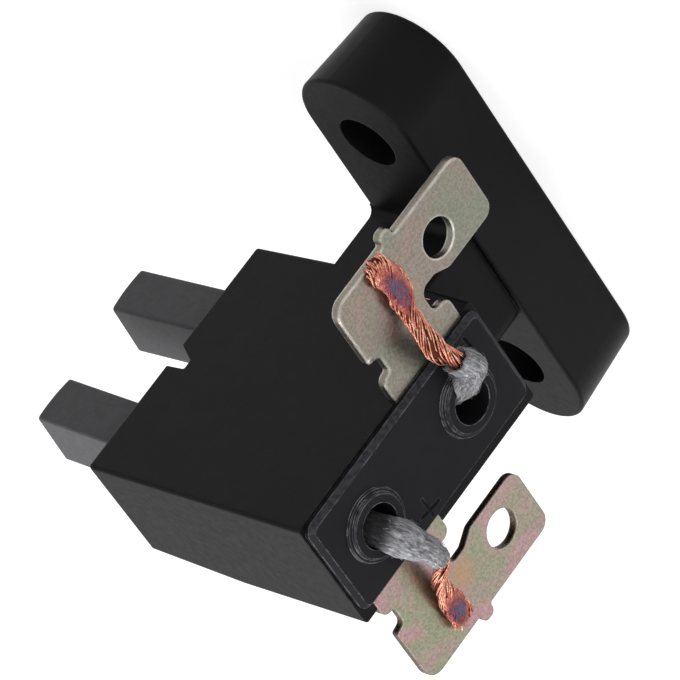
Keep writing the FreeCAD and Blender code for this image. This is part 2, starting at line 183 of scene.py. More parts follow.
# %% [markdown]
# Three effects are shared by several finishes here, so each is a node group made once.
# Mottle mixes three tints in soft patches, as plating and heat do. Grain is the fine unevenness of
# a moulded or stamped surface. The edge group finds convex edges by comparing the true normal with
# one that the Bevel node has rounded, and paints them lighter as a painted highlight and, on some
# parts, wear.
# %% A shader group and its sockets
def new_group(name, inputs, outputs):
    group = bpy.data.node_groups.new(name, "ShaderNodeTree")
    for socket, kind, value in inputs:
        made = group.interface.new_socket(socket, in_out="INPUT", socket_type=kind)
        made.default_value = value
    for socket, kind in outputs:
        group.interface.new_socket(socket, in_out="OUTPUT", socket_type=kind)
    start = group.nodes.new("NodeGroupInput")
    end = group.nodes.new("NodeGroupOutput")
    return group, group.nodes, group.links, start, end


def noise_node(tree_nodes, tree_links, vector, scale, detail=3.0, distortion=0.0):
    made = tree_nodes.new("ShaderNodeTexNoise")
    set_inputs(made, {"Detail": detail, "Distortion": distortion})
    tree_links.new(vector, made.inputs["Vector"])
    feed(tree_links, scale, made.inputs["Scale"])
    return made.outputs["Fac"]


def mapped(tree_nodes, tree_links, value, low, high, to_low=0.0, to_high=1.0):
    made = tree_nodes.new("ShaderNodeMapRange")
    made.interpolation_type = "SMOOTHSTEP"
    set_inputs(made, {"From Min": low, "From Max": high, "To Min": to_low, "To Max": to_high})
    tree_links.new(value, made.inputs["Value"])
    return made.outputs[0]


def blended(tree_nodes, tree_links, factor, first, second, kind="MIX"):
    made = tree_nodes.new("ShaderNodeMix")
    made.data_type = "RGBA"
    made.blend_type = kind
    for socket, value in ((0, factor), (6, first), (7, second)):
        feed(tree_links, value, made.inputs[socket])
    return made.outputs[2]


def sums(tree_nodes, tree_links, kind, first, second):
    made = tree_nodes.new("ShaderNodeMath")
    made.operation = kind
    feed(tree_links, first, made.inputs[0])
    feed(tree_links, second, made.inputs[1])
    return made.outputs[0]


# %% [markdown]
# The mottle's patches come from two noises of different size. Their size is an input, so
# that the same group gives millimetre stains on plating and finer ones on copper.
# %% Mottle
mottle, g_nodes, g_links, g_in, g_out = new_group(
    "mottle",
    [("Vector", "NodeSocketVector", (0, 0, 0)), ("Scale", "NodeSocketFloat", 500.0),
     ("First", "NodeSocketColor", (1, 1, 1, 1)), ("Second", "NodeSocketColor", (1, 1, 1, 1)),
     ("Third", "NodeSocketColor", (1, 1, 1, 1))],
    [("Color", "NodeSocketColor")],
)
broad = noise_node(g_nodes, g_links, g_in.outputs["Vector"], g_in.outputs["Scale"], 4.0, 0.6)
shifted = g_nodes.new("ShaderNodeVectorMath")
shifted.inputs[1].default_value = (0.31, 0.17, 0.53)
g_links.new(g_in.outputs["Vector"], shifted.inputs[0])
other = noise_node(g_nodes, g_links, shifted.outputs[0], g_in.outputs["Scale"], 5.0, 1.0)
first_mask = mapped(g_nodes, g_links, broad, 0.34, 0.66)
second_mask = mapped(g_nodes, g_links, other, 0.38, 0.7)
two = blended(g_nodes, g_links, first_mask, g_in.outputs["First"], g_in.outputs["Second"])
three = blended(g_nodes, g_links, second_mask, two, g_in.outputs["Third"])
g_links.new(three, g_out.inputs["Color"])

# %% [markdown]
# Grain adds a fine noise to a slower one. One output lifts the bump, the other spreads the
# roughness about the value that the material gives.
# %% Grain
grain, g_nodes, g_links, g_in, g_out = new_group(
    "grain",
    [("Vector", "NodeSocketVector", (0, 0, 0)), ("Fine", "NodeSocketFloat", 9000.0),
     ("Slow", "NodeSocketFloat", 900.0), ("Rough", "NodeSocketFloat", 0.4),
     ("Spread", "NodeSocketFloat", 0.1)],
    [("Height", "NodeSocketFloat"), ("Roughness", "NodeSocketFloat")],
)
fine = noise_node(g_nodes, g_links, g_in.outputs["Vector"], g_in.outputs["Fine"], 2.0)
slow = noise_node(g_nodes, g_links, g_in.outputs["Vector"], g_in.outputs["Slow"], 3.0)
height = sums(g_nodes, g_links, "ADD", fine, sums(g_nodes, g_links, "MULTIPLY", slow, 0.7))
g_links.new(height, g_out.inputs["Height"])
centred = sums(g_nodes, g_links, "SUBTRACT", sums(g_nodes, g_links, "ADD", fine, slow), 1.0)
swing = sums(g_nodes, g_links, "MULTIPLY", centred, g_in.outputs["Spread"])
g_links.new(sums(g_nodes, g_links, "ADD", swing, g_in.outputs["Rough"]), g_out.inputs["Roughness"])

# %% [markdown]
# A convex edge is painted lighter than the face beside it: a painted highlight, and on some parts
# wear as well. The Bevel node rounds the normal near an edge, so where the two normals part there
# is an edge, and a noise breaks the line up.
# %% Edge highlight and wear
edge_highlight_and_wear, g_nodes, g_links, g_in, g_out = new_group(
    "edge_highlight_and_wear",
    [("Vector", "NodeSocketVector", (0, 0, 0)), ("Breaks", "NodeSocketFloat", 1500.0),
     ("Radius", "NodeSocketFloat", 0.12 * mm), ("Least", "NodeSocketFloat", 0.0)],
    [("Mask", "NodeSocketFloat"), ("Normal", "NodeSocketVector")],
)
rounded = g_nodes.new("ShaderNodeBevel")
rounded.samples = 4
g_links.new(g_in.outputs["Radius"], rounded.inputs["Radius"])
true_side = g_nodes.new("ShaderNodeNewGeometry")
parting = g_nodes.new("ShaderNodeVectorMath")
parting.operation = "DOT_PRODUCT"
g_links.new(rounded.outputs[0], parting.inputs[0])
g_links.new(true_side.outputs["Normal"], parting.inputs[1])
edge = mapped(g_nodes, g_links, parting.outputs["Value"], 0.8, 0.99, 1.0, 0.0)
broken = noise_node(g_nodes, g_links, g_in.outputs["Vector"], g_in.outputs["Breaks"], 4.0)
patches = mapped(g_nodes, g_links, broken, 0.35, 0.6)
patchy = sums(g_nodes, g_links, "MAXIMUM", patches, g_in.outputs["Least"])
g_links.new(sums(g_nodes, g_links, "MULTIPLY", edge, patchy), g_out.inputs["Mask"])
g_links.new(rounded.outputs[0], g_out.inputs["Normal"])
print("shared groups:", [group.name for group in bpy.data.node_groups])


# %% [markdown]
# Every finish starts in the same way: object coordinates, the grain group for height and
# roughness, and a bump. This helper places them and hands back what a finish adds to. Two more
# place the groups for painted edge highlights with wear and for patches of tint, one finds a spot
# on the part, and one tells which way a surface faces.
# %% The common start of a finish
def finish_start(name, fine_scale, slow_scale, rough, spread, bump_height):
    look, n, k = material(name)
    shader = n["Principled BSDF"]
    spot = n.new("ShaderNodeTexCoord").outputs["Object"]
    grains = n.new("ShaderNodeGroup")
    grains.node_tree = grain
    set_inputs(grains, {
        "Fine": fine_scale, "Slow": slow_scale, "Rough": rough, "Spread": spread})
    k.new(spot, grains.inputs["Vector"])
    k.new(grains.outputs["Roughness"], shader.inputs["Roughness"])
    bump = n.new("ShaderNodeBump")
    bump.inputs["Distance"].default_value = bump_height
    k.new(grains.outputs["Height"], bump.inputs["Height"])
    k.new(bump.outputs[0], shader.inputs["Normal"])
    return look, n, k, shader, spot, bump


def add_edge_highlight_and_wear(n, k, spot, bump, breaks, radius=0.12, least=0.0):
    wear = n.new("ShaderNodeGroup")
    wear.node_tree = edge_highlight_and_wear
    set_inputs(wear, {"Least": least, "Breaks": breaks, "Radius": radius * mm})
    k.new(spot, wear.inputs["Vector"])
    k.new(wear.outputs["Normal"], bump.inputs["Normal"])
    return wear.outputs["Mask"]


def add_mottle(n, k, spot, scale, tints):
    patches = n.new("ShaderNodeGroup")
    patches.node_tree = mottle
    patches.inputs["Scale"].default_value = scale
    for socket, tint in zip(("First", "Second", "Third"), tints):
        patches.inputs[socket].default_value = linear(*tint)
    k.new(spot, patches.inputs["Vector"])
    return patches.outputs["Color"]


def close_to(n, k, spot, centre, reach):
    """One at a point given in millimetres, nought beyond its reach in each direction."""
    away = n.new("ShaderNodeVectorMath")
    away.operation = "SUBTRACT"
    away.inputs[1].default_value = Vector(centre) * mm
    k.new(spot, away.inputs[0])
    scaled = n.new("ShaderNodeVectorMath")
    scaled.operation = "DIVIDE"
    scaled.inputs[1].default_value = Vector(reach) * mm
    k.new(away.outputs[0], scaled.inputs[0])
    size = n.new("ShaderNodeVectorMath")
    size.operation = "LENGTH"
    k.new(scaled.outputs[0], size.inputs[0])
    return mapped(n, k, size.outputs["Value"], 0.0, 1.0, 1.0, 0.0)


def facing(n, k):
    """How far a surface faces along X, either way, and how far along positive Y."""
    sides = n.new("ShaderNodeSeparateXYZ")
    k.new(n.new("ShaderNodeTexCoord").outputs["Normal"], sides.inputs[0])
    return sums(n, k, "ABSOLUTE", sides.outputs["X"], 0.0), sides.outputs["Y"]


# %% [markdown]
# The housing and the cover are a black thermoset, matt with a fine grain. Its base colour is dark,
# and its edges carry a painted highlight, lighter and broken up, but not inside the pressed signs.
# The cover's slanting rim has a painted highlight as well, on the side of positive Y. The housing
# shows faint curved flow marks from moulding: the rings of a distorted wave in the height.
# %% Black moulding compound
def moulded(name, dark, pale, edge_tint, edge_share, gloss, flow, signs=(), chamfer_highlight=0.0):
    look, n, k, shader, spot, bump = finish_start(name, 11000, 1400, 0.44, 0.16, 0.012 * mm)
    shader.inputs["Specular IOR Level"].default_value = gloss
    tint = add_mottle(n, k, spot, 260, (dark, pale, dark))
    # Painted highlight along convex edges, kept out of the pressed signs.
    edge_highlight_mask = add_edge_highlight_and_wear(n, k, spot, bump, 1100, 0.15, 0.2)
    for centre in signs:
        away_from_signs = sums(n, k, "SUBTRACT", 1.0, close_to(n, k, spot, centre, (3.0, 3.4, 3.4)))
        edge_highlight_mask = sums(n, k, "MULTIPLY", edge_highlight_mask, away_from_signs)
    # A painted highlight on the slanting rim faces that face positive Y, broken up by a noise.
    if chamfer_highlight:
        flat, upward = facing(n, k)
        not_flat = mapped(n, k, flat, 0.8, 0.95, 1.0, 0.0)
        slanting = sums(n, k, "MULTIPLY", mapped(n, k, flat, 0.3, 0.55), not_flat)
        highlight_breaks = mapped(n, k, noise_node(n, k, spot, 2400, 4.0), 0.35, 0.6, 0.35, 1.0)
        upper = mapped(n, k, upward, 0.15, 0.5)
        chamfer_highlight_mask = sums(n, k, "MULTIPLY", sums(n, k, "MULTIPLY", slanting, highlight_breaks), upper)
        tint = blended(n, k, sums(n, k, "MULTIPLY", chamfer_highlight_mask, chamfer_highlight), tint, linear(72, 72, 77))
    softer = sums(n, k, "MULTIPLY", edge_highlight_mask, edge_share)
    k.new(blended(n, k, softer, tint, linear(*edge_tint)), shader.inputs["Base Color"])
    if flow:
        wave = n.new("ShaderNodeTexWave")
        wave.wave_type = "RINGS"
        set_inputs(wave, {"Scale": 160, "Distortion": 7, "Detail": 3, "Detail Scale": 0.6})
        k.new(spot, wave.inputs["Vector"])
        marks = sums(n, k, "MULTIPLY", wave.outputs["Fac"], flow)
        grained = bump.inputs["Height"].links[0].from_socket
        k.new(sums(n, k, "ADD", grained, marks), bump.inputs["Height"])
    return look


# The housing's edges get a weak painted highlight, the cover's a strong one.
housing_black = moulded(
    "housing_black", (17, 17, 18), (20, 20, 21), (92, 91, 94),
    edge_share=0.5, gloss=0.08, flow=0.07)
cover_black = moulded(
    "cover_black", (28, 28, 31), (32, 32, 35), (188, 188, 196),
    edge_share=1.0, gloss=0.08, flow=0.0,
    signs=[(11.1, -5.5, 28.9), (11.1, 1.7, 17.3)], chamfer_highlight=0.8)

# %% [markdown]
# The brushes are pressed carbon: a dark grey with a dull, dusty sheen and tiny pores. Voronoi
# cells give the pores, and the arrises are painted brighter, partly as wear and partly as a
# painted highlight.
# %% Pressed carbon
carbon, n, k, shader, spot, bump = finish_start(
    "pressed_carbon", 14000, 2500, 0.5, 0.25, 0.02 * mm)
shader.inputs["Specular IOR Level"].default_value = 0.15
dust_and_shade = add_mottle(n, k, spot, 900, ((83, 83, 85), (86, 86, 89), (80, 80, 82)))
pores = n.new("ShaderNodeTexVoronoi")
pores.inputs["Scale"].default_value = 5200
k.new(spot, pores.inputs["Vector"])
pore_mask = mapped(n, k, pores.outputs["Distance"], 0.02, 0.2, 1.0, 0.0)
dotted = blended(n, k, sums(n, k, "MULTIPLY", pore_mask, 0.15), dust_and_shade, linear(36, 36, 38))
arris = add_edge_highlight_and_wear(n, k, spot, bump, 2200)
k.new(blended(n, k, arris, dotted, linear(138, 138, 144)), shader.inputs["Base Color"])

# %% [markdown]
# The terminals are plated steel. The plating has a pale silver base with pink, green and gold
# stains and a mottled grain, and a brown burn beside each weld. The rolled rims get a painted
# highlight and the faces a few painted glints. The sheared walls, which face sideways, carry a
# painted shade, darker than the flat faces and torn into streaks, so the finish looks at which way
# the surface faces.
# %% Plated steel
def plated(name, tints, edge_share, wall_shade_tint, wall_shade_depth, burn_centre, burn_share):
    look, n, k, shader, spot, bump = finish_start(name, 7500, 2600, 0.38, 0.25, 0.015 * mm)
    shader.inputs["Metallic"].default_value = 1.0
    patches = add_mottle(n, k, spot, 190, tints)
    specks = noise_node(n, k, spot, 4200, 6.0)
    cloudy = blended(n, k, mapped(n, k, specks, 0.38, 0.6, 0.26, 0.0), patches, linear(70, 64, 58))
    pits = mapped(n, k, noise_node(n, k, spot, 4400, 4.0), 0.3, 0.36, 0.4, 0.0)
    pitted = blended(n, k, pits, cloudy, linear(62, 56, 52))
    near_weld = close_to(n, k, spot, burn_centre, (2.0, 2.6, 2.2))
    burn = sums(n, k, "MULTIPLY", near_weld, burn_share)
    pitted = blended(n, k, burn, pitted, linear(178, 134, 96))
    glints = mapped(n, k, noise_node(n, k, spot, 6800, 3.0), 0.6, 0.74, 0.0, 0.22)
    # A painted highlight along the rolled rims.
    rolled_rim_highlight = add_edge_highlight_and_wear(n, k, spot, bump, 900, 0.34, 0.7)
    stained = blended(n, k, glints, pitted, linear(206, 198, 188))
    # Painted shade on the walls that face sideways, torn into streaks.
    wall_shade = mapped(n, k, facing(n, k)[0], 0.25, 0.7, wall_shade_depth, 0.0)
    streaks = noise_node(n, k, spot, 2600, 4.0, 2.0)
    torn_wall_shade = sums(n, k, "MULTIPLY", wall_shade, mapped(n, k, streaks, 0.2, 0.6, 0.55, 1.0))
    rusty = mapped(n, k, streaks, 0.44, 0.6)
    shear = blended(n, k, rusty, linear(*wall_shade_tint), linear(116, 100, 78))
    walled = blended(n, k, torn_wall_shade, stained, shear)
    bright = sums(n, k, "MULTIPLY", rolled_rim_highlight, edge_share)
    k.new(blended(n, k, bright, walled, linear(246, 240, 235)), shader.inputs["Base Color"])
    return look


# The inner terminal's walls get a deep painted shade and its rims little painted highlight.
plated_outer = plated(
    "plated_silver", ((141, 134, 127), (150, 134, 124), (132, 136, 120)), edge_share=1.0,
    wall_shade_tint=(118, 114, 110), wall_shade_depth=0.25, burn_centre=(10.3, 9.6, 18.6), burn_share=0.25)
plated_inner = plated(
    "plated_gold", ((158, 146, 134), (146, 150, 124), (178, 142, 146)), edge_share=0.15,
    wall_shade_tint=(26, 23, 21), wall_shade_depth=1.0, burn_centre=(10.3, -13.5, 29.6), burn_share=0.6)

# %% [markdown]
# The springs are drawn steel wire, a plain grey metal with slow patches of tint.
# %% Spring steel
spring_steel, n, k, shader, spot, _ = finish_start(
    "spring_steel", 9000, 2000, 0.33, 0.2, 0.01 * mm)
shader.inputs["Metallic"].default_value = 1.0
drawn = add_mottle(n, k, spot, 800, ((150, 148, 145), (128, 126, 124), (165, 160, 150)))
k.new(drawn, shader.inputs["Base Color"])

# %% [markdown]
# Copper changes colour where it was welded: pink wire turns red, then purple and blue. The two
# welds are fixed places on the part, so the finish measures how far a spot is from each of them,
# farther along the lead than across it. The same finish serves, in dark tints, as painted shade
# for the hollows between the strands, and with a coarse relief for the weld itself.
# %% Copper
weld_middle = {"negative": (11.3, 11.7, 19.9), "positive": (11.2, -14.6, 32.25)}
weld_reach = {"negative": (3.0, 3.6, 1.5), "positive": (3.0, 2.3, 1.7)}


def copper_finish(name, tints, rough, fine_scale, relief):
    look, n, k, shader, spot, _ = finish_start(
        name, fine_scale, 3000, rough, 0.25, relief * mm)
    shader.inputs["Metallic"].default_value = 1.0
    wire_tint = add_mottle(n, k, spot, 1700, tints)
    welds = [close_to(n, k, spot, weld_middle[side], weld_reach[side]) for side in weld_middle]
    heat = sums(n, k, "MAXIMUM", *welds)
    patchy = mapped(n, k, noise_node(n, k, spot, 1500, 3.0, 1.0), 0.3, 0.62, 0.45, 1.2)
    heated = sums(n, k, "MULTIPLY", heat, patchy)
    red = blended(n, k, mapped(n, k, heated, 0.02, 0.35), wire_tint, linear(158, 88, 80))
    purple = blended(n, k, mapped(n, k, heated, 0.3, 0.6), red, linear(112, 70, 82))
    blue = blended(n, k, mapped(n, k, heated, 0.66, 1.05), purple, linear(88, 86, 112))
    dirty = mapped(n, k, noise_node(n, k, spot, 5200, 3.0), 0.52, 0.72, 0.0, 0.5)
    k.new(blended(n, k, dirty, blue, linear(84, 46, 38)), shader.inputs["Base Color"])
    return look


copper = copper_finish(
    "stranded_copper", ((192, 124, 102), (150, 86, 66), (222, 166, 144)),
    rough=0.33, fine_scale=9000, relief=0.02)
# Dark copper for the painted shade between the strands.
copper_shade = copper_finish(
    "copper_in_shade", ((74, 38, 28), (60, 30, 22), (88, 46, 34)),
    rough=0.5, fine_scale=9000, relief=0.02)
copper_weld = copper_finish(
    "copper_weld", ((176, 112, 96), (160, 96, 80), (196, 134, 116)),
    rough=0.42, fine_scale=3600, relief=0.16)

# %% [markdown]
# Felted fabric is made of streaks of fibre that run along the tube, over a faint weave.
# The finish reads the piece's own UV map, which goes once round and along the tube. Where the
# sleeve comes out of the guide it has a painted shade, nearly black, that fades along the tube.
# %% Fabric
def fabric(name, tints, weave_along, weave_round, shade_ends):
    look, n, k, shader, spot, bump = finish_start(name, 9000, 1600, 0.92, 0.1, 0.12 * mm)
    set_inputs(shader, {"Specular IOR Level": 0.12, "Sheen Weight": 0.06})
    threads = n.new("ShaderNodeUVMap")
    threads.uv_map = "threads"
    split = n.new("ShaderNodeSeparateXYZ")
    k.new(threads.outputs[0], split.inputs[0])
    turned = sums(n, k, "MULTIPLY", split.outputs["X"], weave_round * math.tau)
    runs = sums(n, k, "MULTIPLY", split.outputs["Y"], weave_along * math.tau)
    one = sums(n, k, "SINE", sums(n, k, "ADD", turned, runs), 0.0)
    two = sums(n, k, "SINE", sums(n, k, "SUBTRACT", turned, runs), 0.0)
    weave = mapped(n, k, sums(n, k, "MULTIPLY", one, two), -1.0, 1.0)
    combed = n.new("ShaderNodeVectorMath")
    combed.operation = "MULTIPLY"
    combed.inputs[1].default_value = (34.0, 7.0, 1.0)
    k.new(threads.outputs[0], combed.inputs[0])
    streaks = noise_node(n, k, combed.outputs[0], 1.0, 4.0, 1.4)
    tufts = noise_node(n, k, spot, 3400, 5.0, 1.2)
    woven = sums(n, k, "MULTIPLY", weave, 0.35)
    raised = sums(n, k, "ADD", woven, sums(n, k, "MULTIPLY", streaks, 2.2))
    k.new(sums(n, k, "ADD", raised, tufts), bump.inputs["Height"])
    cloth = add_mottle(n, k, spot, 900, tints)
    shaded = blended(n, k, mapped(n, k, streaks, 0.34, 0.5, 0.65, 0.0), cloth, linear(76, 76, 82))
    fluff = mapped(n, k, streaks, 0.5, 0.66, 0.0, 0.8)
    fluffy = blended(n, k, fluff, shaded, linear(226, 226, 230))
    # Painted shade, nearly black, where the sleeve comes out of the guide, fading along the tube.
    dust_and_shade = mapped(n, k, split.outputs["Y"], shade_ends, shade_ends + 0.22, 0.94, 0.0)
    k.new(blended(n, k, dust_and_shade, fluffy, linear(16, 16, 17)), shader.inputs["Base Color"])
    return look


sleeve_cloth = fabric(
    "sleeve_fabric", ((166, 166, 171), (150, 150, 157), (180, 180, 184)),
    weave_along=7.0, weave_round=9.0, shade_ends=0.8)

# %% [markdown]
# The model's own pieces keep their shape and take these finishes. A carried piece is
# never moved: only the material in its slot changes.
# %% Dress the carried pieces
dressing = {
    "housing": housing_black,
    "brush_positive": carbon,
    "brush_negative": carbon,
    "terminal_negative": plated_outer,
    "terminal_positive": plated_inner,
}
for node_name, look in dressing.items():
    nodes[node_name].data.materials.clear()
    nodes[node_name].data.materials.append(look)
print("dressed:", sorted(dressing))


# %% [markdown]
# Every new piece ends in the same way: its mesh gets a finish, its normals are made to point
# outwards, and it is told which body carries it. Thin wires are drawn as curves and turned into a
# mesh.
# %% Finish a new piece
def piece(name, made, look, smooth=True):
    bmesh.ops.recalc_face_normals(made, faces=made.faces)
    data = bpy.data.meshes.new(name)
    made.to_mesh(data)
    made.free()
    data.materials.append(look)
    for face in data.polygons:
        face.use_smooth = smooth
    thing = bpy.data.objects.new(name, data)
    bpy.context.scene.collection.objects.link(thing)
    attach(thing, "holder")
    return thing


def wire_curve(name, radius, sides=1, capped=True):
    """An empty curve whose splines turn into wires of this radius, in millimetres."""
    made = bpy.data.curves.new(name, "CURVE")
    made.dimensions = "3D"
    made.bevel_depth = radius * mm
    made.bevel_resolution = sides
    made.use_fill_caps = capped
    return made


def add_wire(curve_data, points, radii=None, kind="POLY"):
    """One spline through the points, with a share of the wire's radius at each."""
    spline = curve_data.splines.new(kind)
    spline.points.add(len(points) - 1)
    for point, at, radius in zip(spline.points, points, radii or [1.0] * len(points)):
        point.co = (*at, 1)
        point.radius = radius
    return spline


def curve_as_bmesh(curve_data):
    """The mesh that a curve gives, and the curve itself thrown away."""
    holder = bpy.data.objects.new("draft", curve_data)
    bpy.context.scene.collection.objects.link(holder)
    settled = holder.evaluated_get(bpy.context.evaluated_depsgraph_get())
    data = bpy.data.meshes.new_from_object(settled)
    drawn_mesh = bmesh.new()
    drawn_mesh.from_mesh(data)
    bpy.data.objects.remove(holder)
    bpy.data.curves.remove(curve_data)
    bpy.data.meshes.remove(data)
    return drawn_mesh


# %% [markdown]
# The cover's two signs tell the electrician which lead is which. They are pressed into
# the moulding as fine lines. Boxes are sunk into a merged copy of the cover, which then
# gets a small bevel, because a moulded edge is never perfectly sharp.
# %% The cover with its signs
cover_top = 11.1
sign_width, sign_depth = 0.3, 0.16
bevel_width = 0.07
sign_strokes = [
    ((-4.04, 28.96), (-6.93, 28.93)), ((-5.69, 27.61), (-5.31, 30.13)),
    ((2.88, 17.44), (0.57, 17.24)),
]

cover_mesh = bmesh.new()
cover_mesh.from_mesh(nodes["rear_cover"].data)
bmesh.ops.remove_doubles(cover_mesh, verts=cover_mesh.verts, dist=0.002 * mm)
bmesh.ops.dissolve_limit(
    cover_mesh, angle_limit=math.radians(0.5), verts=cover_mesh.verts, edges=cover_mesh.edges)
bmesh.ops.triangulate(cover_mesh, faces=[f for f in cover_mesh.faces if len(f.verts) > 4])
cover = piece("cover_plate", cover_mesh, cover_black, smooth=False)

strokes = bmesh.new()
for first, last in sign_strokes:
    start = Vector((cover_top, first[0], first[1])) * mm
    end = Vector((cover_top, last[0], last[1])) * mm
    run = end - start
    stroke = bmesh.ops.create_cube(strokes, size=1.0)["verts"]
    bmesh.ops.scale(strokes, vec=(2 * sign_depth * mm, run.length, sign_width * mm), verts=stroke)
    turn = Matrix.Rotation(math.atan2(run.z, run.y), 4, "X")
    bmesh.ops.transform(strokes, matrix=Matrix.Translation((start + end) / 2) @ turn, verts=stroke)
strokes_data = bpy.data.meshes.new("sign_strokes")
strokes.to_mesh(strokes_data)
strokes.free()
cutter = bpy.data.objects.new("sign_strokes", strokes_data)
bpy.context.scene.collection.objects.link(cutter)
cut = cover.modifiers.new("signs", "BOOLEAN")
cut.object = cutter
cut.operation = "DIFFERENCE"
cut.solver = "EXACT"
cut.use_self = True
settled_cover = cover.evaluated_get(bpy.context.evaluated_depsgraph_get())
cut_data = bpy.data.meshes.new_from_object(settled_cover)
cover.modifiers.clear()
cover.data = cut_data
bpy.data.objects.remove(cutter)
soft = cover.modifiers.new("soft_edges", "BEVEL")
soft.width = bevel_width * mm
soft.segments = 2
soft.limit_method = "ANGLE"
soft.angle_limit = math.radians(34)
for face in cover.data.polygons:
    face.use_smooth = False
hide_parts("rear_cover")
print("cover faces:", len(cover.data.polygons))

# %% [markdown]
# Moulding leaves a thin ragged line of flash on the housing's rear rim, beside the
# cover. A wire that follows the rim, with a jitter in place and thickness, gives it.
# %% Flash on the rim
flash_radius, flash_step = 0.06, 0.35
rim_x, rim_y, rim_z = 10.28, 3.9, 39.07
rim_corner = Vector((rim_x, rim_y, rim_z))
rim_sides = [
    (Vector((rim_x, rim_y, 25.7)), rim_corner),
    (rim_corner, Vector((rim_x, -6.05, rim_z))),
]
flash_curve = wire_curve("flash", flash_radius)
for start, end in rim_sides:
    count = int((end - start).length / flash_step)
    points, radii = [], []
    for i in range(count + 1):
        at = start.lerp(end, i / count)
        wobble = noise.noise_vector(at * 0.9) * 0.08
        at = at + Vector((wobble.x * 0.7, wobble.y * 0.5, wobble.z * 0.5))
        points.append(at * mm)
        radii.append(max(0.25, 0.9 + 1.1 * noise.noise(at * 1.7)))
    add_wire(flash_curve, points, radii)
flash = piece("rim_flash", curve_as_bmesh(flash_curve), housing_black)
print("flash faces:", len(flash.data.polygons))

# %% [markdown]
# A compression spring pushes each brush out. Spinning a small circle about the spring's axis while
# it also advances along it gives a coil, with its ends closed by caps. The positive brush leans by
# 2.1 degrees and slides along its own length.
# %% The springs
seat_x = 8.8 * mm
wire_r = 0.225 * mm
coil_turns = 8.0
steps_per_turn = 28
lean = math.radians(2.1)
slide_axis = {"positive": (math.cos(lean), 0, math.sin(lean)), "negative": (1, 0, 0)}


def coil(side):
    low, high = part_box("spring_" + side)
    middle = (low + high) / 2
    reach = (high.y - low.y) / 2 - wire_r
    start_x, end_x = low.x + wire_r, high.x - wire_r
    made = bmesh.new()
    place = Matrix.Translation((start_x, middle.y + reach, middle.z))
    ring = bmesh.ops.create_circle(
        made, cap_ends=False, radius=wire_r, segments=10, matrix=place)["verts"]
    steps = int(coil_turns * steps_per_turn)
    bmesh.ops.spin(
        made, geom=ring + list(made.edges), cent=(start_x, middle.y, middle.z), axis=(1, 0, 0),
        dvec=((end_x - start_x) / steps, 0, 0), angle=coil_turns * math.tau,
        steps=steps, use_merge=False,
    )
    ends = [e for e in made.edges if e.is_boundary]
    bmesh.ops.holes_fill(made, edges=ends, sides=12)
    spring = piece("coil_" + side, made, spring_steel)
    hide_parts("spring_" + side)
    reach = (seat_x - low.x) * slide_axis[side][0]
    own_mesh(spring)
    return spring


springs = [coil(side) for side in ("positive", "negative")]
print("springs:", [len(s.data.polygons) for s in springs])


# %% [markdown]
# A pigtail is rope-laid copper: many fine strands with a slow twist. First comes one
# smooth line, a NURBS spline whose control points are the route. The strands are laid
# round it afterwards, so the line is read back as points. Sideways is the part's Z wherever
# the line goes, so that a flattened section never turns on edge.
# %% The line of a lead
def smooth_line(points, spacing=0.25):
    """Points along the NURBS spline of a route, in millimetres, about evenly spaced."""
    route = wire_curve("route", 0.0, 0, False)
    spline = add_wire(route, points, kind="NURBS")
    spline.order_u = 3
    spline.use_endpoint_u = True
    spline.resolution_u = 16
    drawn_line = curve_as_bmesh(route)
    drawn_line.verts.ensure_lookup_table()
    line = [vert.co.copy() for vert in drawn_line.verts]
    drawn_line.free()
    even = [line[0]]
    since = 0.0
    for before, after in zip(line, line[1:]):
        since += (after - before).length
        if since >= spacing:
            even.append(after)
            since = 0.0
    if (even[-1] - line[-1]).length > 1e-6:
        even.append(line[-1])
    return even


def frames_along(line):
    """A steady sideways and upward direction at each point of a line."""
    found = []
    for i, at in enumerate(line):
        ahead = (line[min(i + 1, len(line) - 1)] - line[max(i - 1, 0)]).normalized()
        side = Vector((0, 0, 1))
        side = (side - ahead * side.dot(ahead)).normalized()
        found.append((at, ahead, side, ahead.cross(side)))
    return found


def eased(value, low, high):
    """Nought below low and one above high, with a soft rise between them."""
    share = max(0.0, min(1.0, (value - low) / (high - low)))
    return share * share * (3 - 2 * share)


# %% [markdown]
# Three ropes of fine wire are laid round each other. A strand's place is its rope's own
# turn about the line plus its turn within the rope, and it wanders a little. Towards the
# weld the bundle is pressed wider and flatter: the two half-widths of its section are
# given at stations along the lead.
# %% Strands round a line
ropes = 3
rope_share = 0.47
twist = 13.0
inner_twist = 2.1


def half_widths(stations, along):
    """The section's half width and half thickness between the two nearest stations."""
    for (a, wide_a, thick_a), (b, wide_b, thick_b) in zip(stations, stations[1:]):
        if along <= b:
            share = eased(along, a, b)
            return wide_a + (wide_b - wide_a) * share, thick_a + (thick_b - thick_a) * share
    return stations[-1][1:]


